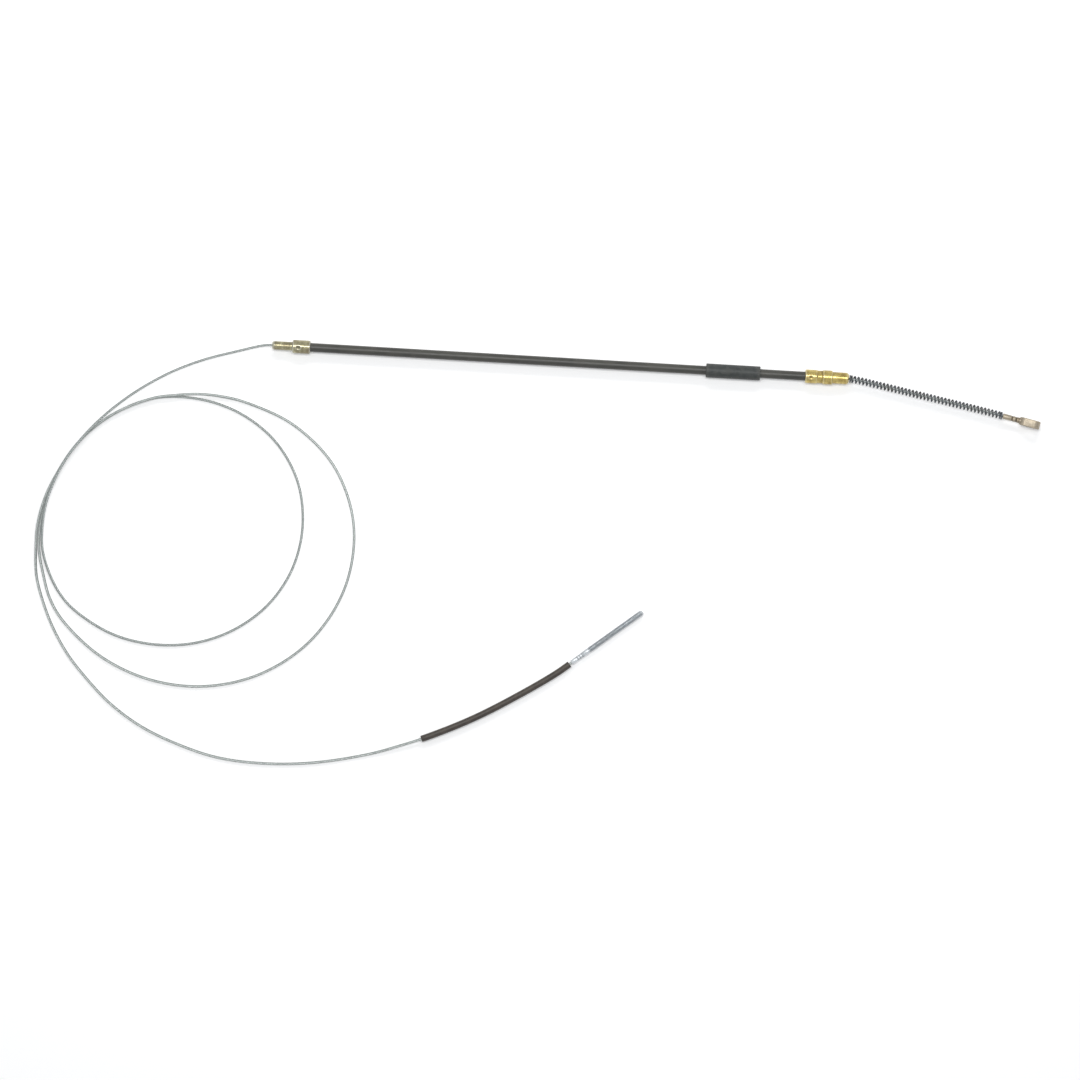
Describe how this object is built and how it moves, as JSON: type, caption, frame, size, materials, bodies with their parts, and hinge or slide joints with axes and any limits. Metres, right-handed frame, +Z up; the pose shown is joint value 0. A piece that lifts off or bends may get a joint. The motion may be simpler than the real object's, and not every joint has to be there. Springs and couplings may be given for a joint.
{
  "type": "parking brake cable",
  "caption": "Sheathed pull cable with crimped end ferrules, a return spring and slotted eye at one end, and a long looped wire that ends in a threaded rod.",
  "frame": {"origin": "on the ground under the middle of the conduit with its spring and end fitting, the free wire left out", "axes": "+X along the conduit from the front ferrule to the end eye, +Z up, the free wire lies towards -Y"},
  "size_m": [0.9971, 0.426, 0.0141],
  "materials": {
    "cover": "satin dark grey",
    "spiral": "drawn flat wire",
    "liner": "smooth",
    "zinc": "zinc plated",
    "yellow_zinc": "yellow passivated zinc",
    "rubber": "matt",
    "spring_steel": "drawn wire",
    "wire": "galvanised strand",
    "brown_plastic": "satin brown",
    "bright_steel": "zinc plated, rolled thread",
    "tan_steel": "passivated zinc"
  },
  "bodies": {
    "conduit": {"conduit_cover": "cover", "conduit_spiral": "spiral", "conduit_liner": "liner", "front_ferrule": "zinc", "rear_ferrule": "yellow_zinc", "conduit_sleeve": "rubber", "return_spring": "spring_steel"},
    "wire": {"inner_wire": "wire", "wire_free_run": "wire", "rod_sleeve": "brown_plastic", "threaded_rod": "bright_steel", "end_eye": "tan_steel"}
  },
  "joints": [
    {"name": "wire_slide", "type": "slide", "parent": "conduit", "child": "wire", "axis": [-1, 0, 0], "range_m": [0, 0.04], "stiffness_N_per_m": 1500, "deforming": ["return_spring", "inner_wire"]}
  ]
}
